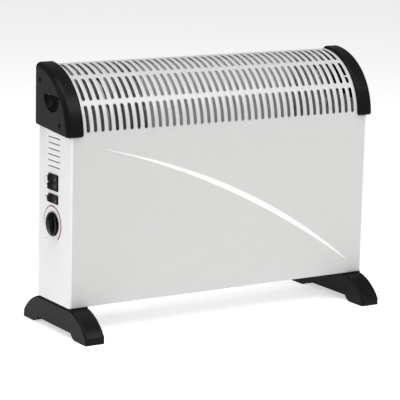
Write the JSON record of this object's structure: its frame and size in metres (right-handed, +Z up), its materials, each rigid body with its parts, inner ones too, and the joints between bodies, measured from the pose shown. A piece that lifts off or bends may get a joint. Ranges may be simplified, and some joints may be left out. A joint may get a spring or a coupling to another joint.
{
  "type": "fan convector heater",
  "caption": "Free-standing fan convector heater: sheet-steel casing with a quarter-round slotted top, black end caps and feet, side rocker switches and a thermostat knob.",
  "frame": {"origin": "on the floor, under the centre of the casing", "axes": "+X along the width to the right as seen from the front, -Y to the front, +Z up"},
  "size_m": [0.5301, 0.19, 0.384],
  "materials": {
    "white_enamel": "smooth satin powder coat",
    "galvanised_sheet": "bare galvanised steel sheet",
    "black_moulding": "fine-grained black moulding",
    "gloss_black": "smooth glossy black",
    "red_marker": "clear red plastic",
    "zinc_screw": "zinc plated",
    "black_screw": "blackened steel",
    "brass": "drawn brass",
    "phenolic": "dark heat-proof moulding",
    "bright_steel": "turned steel",
    "mica": "pressed mica board",
    "resistance_wire": "oxidised resistance wire",
    "cutout_shell": "pressed aluminium",
    "natural_nylon": "unfilled nylon",
    "fan_plastic": "black glass-filled plastic",
    "lamination": "stacked laminations",
    "winding": "taped copper winding",
    "bronze": "sintered bronze",
    "grommet_rubber": "soft black rubber",
    "wire_brown": "silicone insulation",
    "glass_sleeve": "braided glass sleeve"
  },
  "bodies": {
    "casing": {"block_screw": "zinc_screw", "bottom_plate": "galvanised_sheet", "control_bay_partition": "galvanised_sheet", "cord_gland": "gloss_black", "cutout_bracket": "galvanised_sheet", "element_rails": "galvanised_sheet", "element_sleeve": "glass_sleeve", "element_studs": "brass", "end_cap_screws": "black_screw", "end_plate": "galvanised_sheet", "fan_plate": "galvanised_sheet", "fan_shroud": "natural_nylon", "fan_switch_housing": "gloss_black", "foot_screws": "zinc_screw", "front_bearing_bracket": "bright_steel", "front_casing": "white_enamel", "high_power_coil": "resistance_wire", "left_end_cap": "black_moulding", "left_foot": "black_moulding", "low_power_coil": "resistance_wire", "mica_boards": "mica", "motor_bearings": "bronze", "motor_coil": "winding", "motor_screws": "zinc_screw", "motor_sleeve": "glass_sleeve", "motor_stator": "lamination", "plate_rivets": "zinc_screw", "power_switch_housing": "gloss_black", "rear_bearing_bracket": "bright_steel", "rear_panel": "white_enamel", "rear_panel_screws": "zinc_screw", "right_end_cap": "black_moulding", "right_foot": "black_moulding", "shroud_screws": "zinc_screw", "supply_wires": "wire_brown", "switch_terminals": "brass", "terminal_block": "natural_nylon", "thermal_cutout": "cutout_shell", "thermostat_base": "phenolic", "thermostat_bimetal": "bright_steel", "thermostat_screws": "zinc_screw", "thermostat_terminals": "brass", "wire_grommets": "grommet_rubber"},
    "dial": {"thermostat_knob": "gloss_black", "thermostat_spindle": "bright_steel"},
    "upper_rocker": {"upper_power_rocker": "gloss_black"},
    "lower_rocker": {"lower_power_rocker": "gloss_black"},
    "fan_rocker": {"fan_switch_rocker": "gloss_black", "fan_rocker_marker": "red_marker"},
    "fan": {"fan_impeller": "fan_plastic", "motor_shaft": "bright_steel", "motor_rotor": "lamination"}
  },
  "joints": [
    {"name": "thermostat_turn", "type": "hinge", "parent": "casing", "child": "dial", "pos_m": [-0.2575, 0.002, 0.1565], "axis": [-1, 0, 0], "range_deg": [-135, 135]},
    {"name": "upper_power_switch", "type": "hinge", "parent": "casing", "child": "upper_rocker", "pos_m": [-0.25606, 0.0015, 0.22235], "axis": [0, 0, 1], "range_deg": [-22, 0]},
    {"name": "lower_power_switch", "type": "hinge", "parent": "casing", "child": "lower_rocker", "pos_m": [-0.25606, 0.0015, 0.21165], "axis": [0, 0, 1], "range_deg": [-22, 0]},
    {"name": "fan_switch", "type": "hinge", "parent": "casing", "child": "fan_rocker", "pos_m": [-0.25606, 0.0015, 0.1932], "axis": [0, 0, 1], "range_deg": [-22, 0]},
    {"name": "fan_spin", "type": "hinge", "parent": "casing", "child": "fan", "pos_m": [-0.145, 0, 0.128], "axis": [1, 0, 0], "continuous": true}
  ]
}
